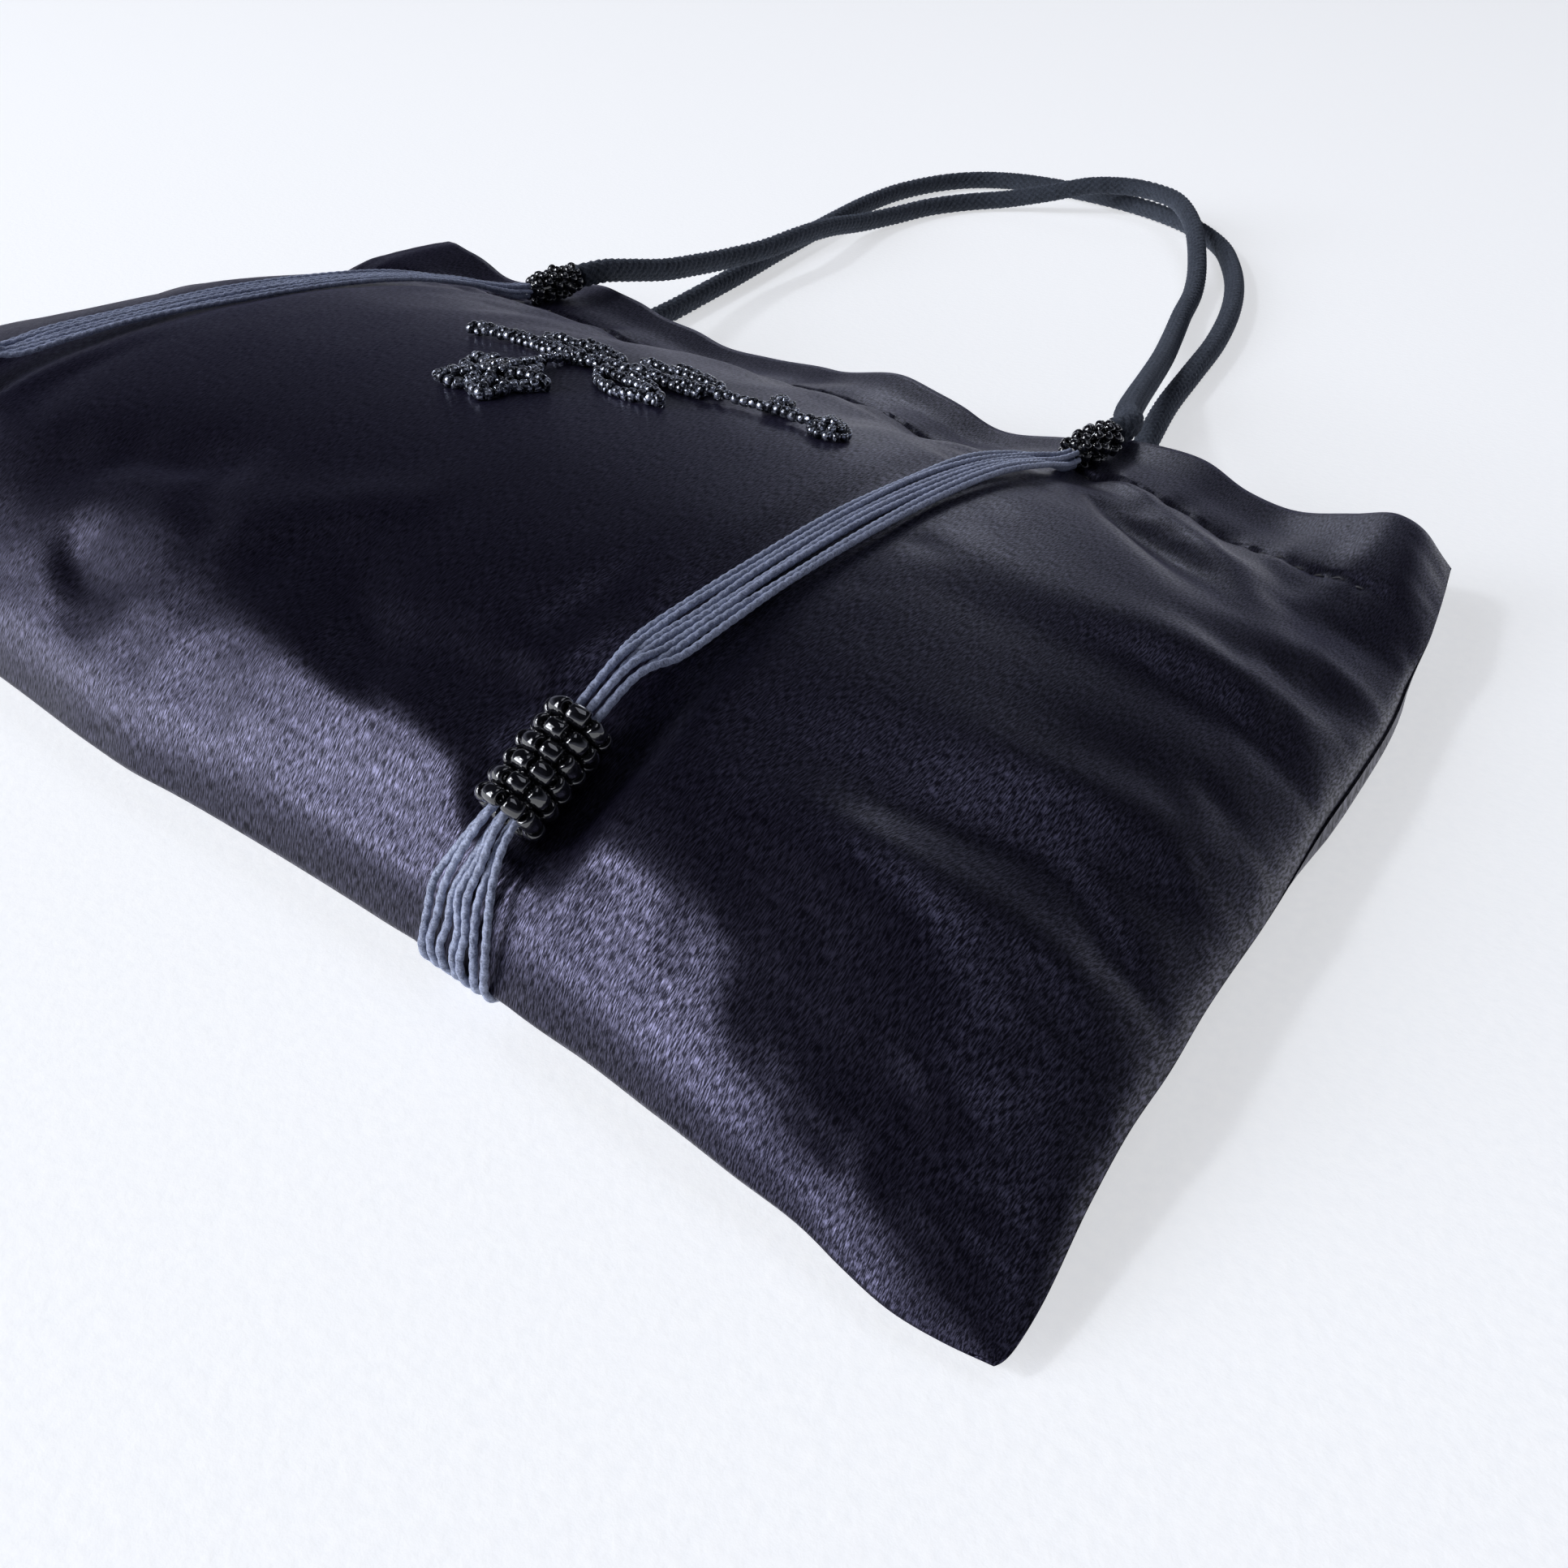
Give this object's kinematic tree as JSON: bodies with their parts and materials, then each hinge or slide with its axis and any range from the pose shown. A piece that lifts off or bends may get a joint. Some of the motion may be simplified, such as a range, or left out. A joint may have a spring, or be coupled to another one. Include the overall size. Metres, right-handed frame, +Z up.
{
  "type": "beaded evening pouch",
  "caption": "Small black satin pouch with two round cord handles, thin strand straps with beaded sleeves and collars, and a beaded sprig.",
  "frame": {"origin": "on the table under the middle of the pouch, handles left out", "axes": "+X to the right seen from the front panel, +Y from the bottom fold to the mouth, +Z up out of the front panel"},
  "size_m": [0.23, 0.3001, 0.0294],
  "materials": {
    "satin": "black satin with a soft blue-grey sheen and a fine lengthwise grain",
    "lining": "plain black lining cloth",
    "handle_cord": "matt round-braided cord",
    "strand_cord": "waxed twisted cotton",
    "beads": "glossy jet black seed beads"
  },
  "bodies": {
    "pouch": {"outer_front": "satin", "outer_back": "satin", "casing_front": "satin", "casing_back": "satin", "lining_front": "lining", "lining_back": "lining", "strand_left_1": "strand_cord", "strand_left_2": "strand_cord", "strand_left_3": "strand_cord", "strand_left_4": "strand_cord", "strand_left_5": "strand_cord", "strand_left_6": "strand_cord", "strand_left_7": "strand_cord", "strand_right_1": "strand_cord", "strand_right_2": "strand_cord", "strand_right_3": "strand_cord", "strand_right_4": "strand_cord", "strand_right_5": "strand_cord", "strand_right_6": "strand_cord", "strand_right_7": "strand_cord", "collar_front_left": "beads", "collar_front_right": "beads", "collar_back_left": "beads", "collar_back_right": "beads", "sprig_flower": "beads", "sprig_flower_centre": "beads", "sprig_leaf_1": "beads", "sprig_leaf_2": "beads", "sprig_leaf_3": "beads", "sprig_bud_1": "beads", "sprig_bud_2": "beads", "sprig_stem": "beads"},
    "front_handle": {"handle_rope_front": "handle_cord"},
    "back_handle": {"handle_rope_back": "handle_cord"},
    "left_sleeve": {"sleeve_left": "beads"},
    "right_sleeve": {"sleeve_right": "beads"}
  },
  "joints": [
    {"name": "front_handle_swing", "type": "hinge", "parent": "pouch", "child": "front_handle", "pos_m": [0, 0.06267, 0.0212], "axis": [1, 0, 0], "range_deg": [0, 170]},
    {"name": "back_handle_swing", "type": "hinge", "parent": "pouch", "child": "back_handle", "pos_m": [0, 0.06267, 0.0003], "axis": [1, 0, 0], "range_deg": [-170, 0]},
    {"name": "left_sleeve_slide", "type": "slide", "parent": "pouch", "child": "left_sleeve", "axis": [0, 0.8829, 0.4695], "range_m": [0, 0.0045]},
    {"name": "right_sleeve_slide", "type": "slide", "parent": "pouch", "child": "right_sleeve", "axis": [0, 0.8829, 0.4695], "range_m": [0, 0.0045]}
  ]
}
